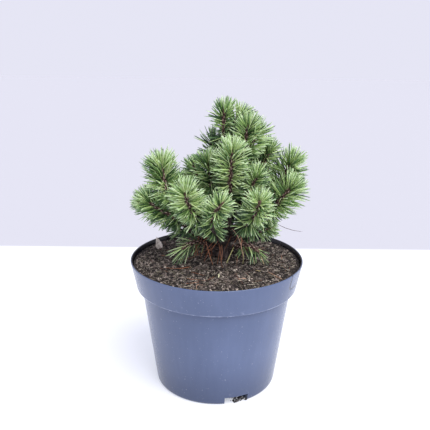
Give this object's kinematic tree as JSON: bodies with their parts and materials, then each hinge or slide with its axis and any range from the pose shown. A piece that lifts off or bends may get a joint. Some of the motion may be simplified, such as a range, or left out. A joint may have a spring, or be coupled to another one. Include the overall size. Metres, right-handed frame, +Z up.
{
  "type": "potted dwarf mountain pine",
  "caption": "Low bushy dwarf pine with bottle-brush needle tufts on short upswept boughs, growing in a round plastic nursery pot filled with peat mix.",
  "frame": {"origin": "centre of the pot's flat underside", "axes": "+Z up along the pot's axis, -Y towards the viewer of the picture, +X to that viewer's right"},
  "size_m": [0.2331, 0.23, 0.3906],
  "materials": {
    "pot": "semi-matt moulded plastic, dark blue-grey",
    "soil": "loose moist peat mix",
    "bark": "rough scaly bark",
    "needles": "satin green needles"
  },
  "bodies": {
    "root": {"bough_back": "bark", "bough_back_left": "bark", "bough_back_right": "bark", "bough_front": "bark", "bough_front_left": "bark", "bough_front_right": "bark", "bough_left": "bark", "bough_left_back": "bark", "bough_low_back": "bark", "bough_low_left": "bark", "bough_low_right": "bark", "bough_middle": "bark", "bough_middle_back": "bark", "bough_middle_left": "bark", "bough_middle_right": "bark", "bough_right": "bark", "bough_right_back": "bark", "bough_upper_back": "bark", "bough_upper_left": "bark", "bough_upper_right": "bark", "limb_back_left_high": "bark", "limb_back_low": "bark", "limb_back_right_high": "bark", "limb_left_high": "bark", "limb_right_high": "bark", "limb_right_low": "bark", "pot": "pot", "soil": "soil", "trunk": "bark", "tuft_back": "needles", "tuft_back_left": "needles", "tuft_back_left_high": "needles", "tuft_back_low": "needles", "tuft_back_right": "needles", "tuft_back_right_high": "needles", "tuft_front": "needles", "tuft_front_left": "needles", "tuft_front_right": "needles", "tuft_left": "needles", "tuft_left_back": "needles", "tuft_left_high": "needles", "tuft_low_back": "needles", "tuft_low_left": "needles", "tuft_low_right": "needles", "tuft_middle": "needles", "tuft_middle_back": "needles", "tuft_middle_left": "needles", "tuft_middle_right": "needles", "tuft_right": "needles", "tuft_right_back": "needles", "tuft_right_high": "needles", "tuft_right_low": "needles", "tuft_top": "needles", "tuft_upper_back": "needles", "tuft_upper_left": "needles", "tuft_upper_right": "needles"}
  },
  "joints": []
}
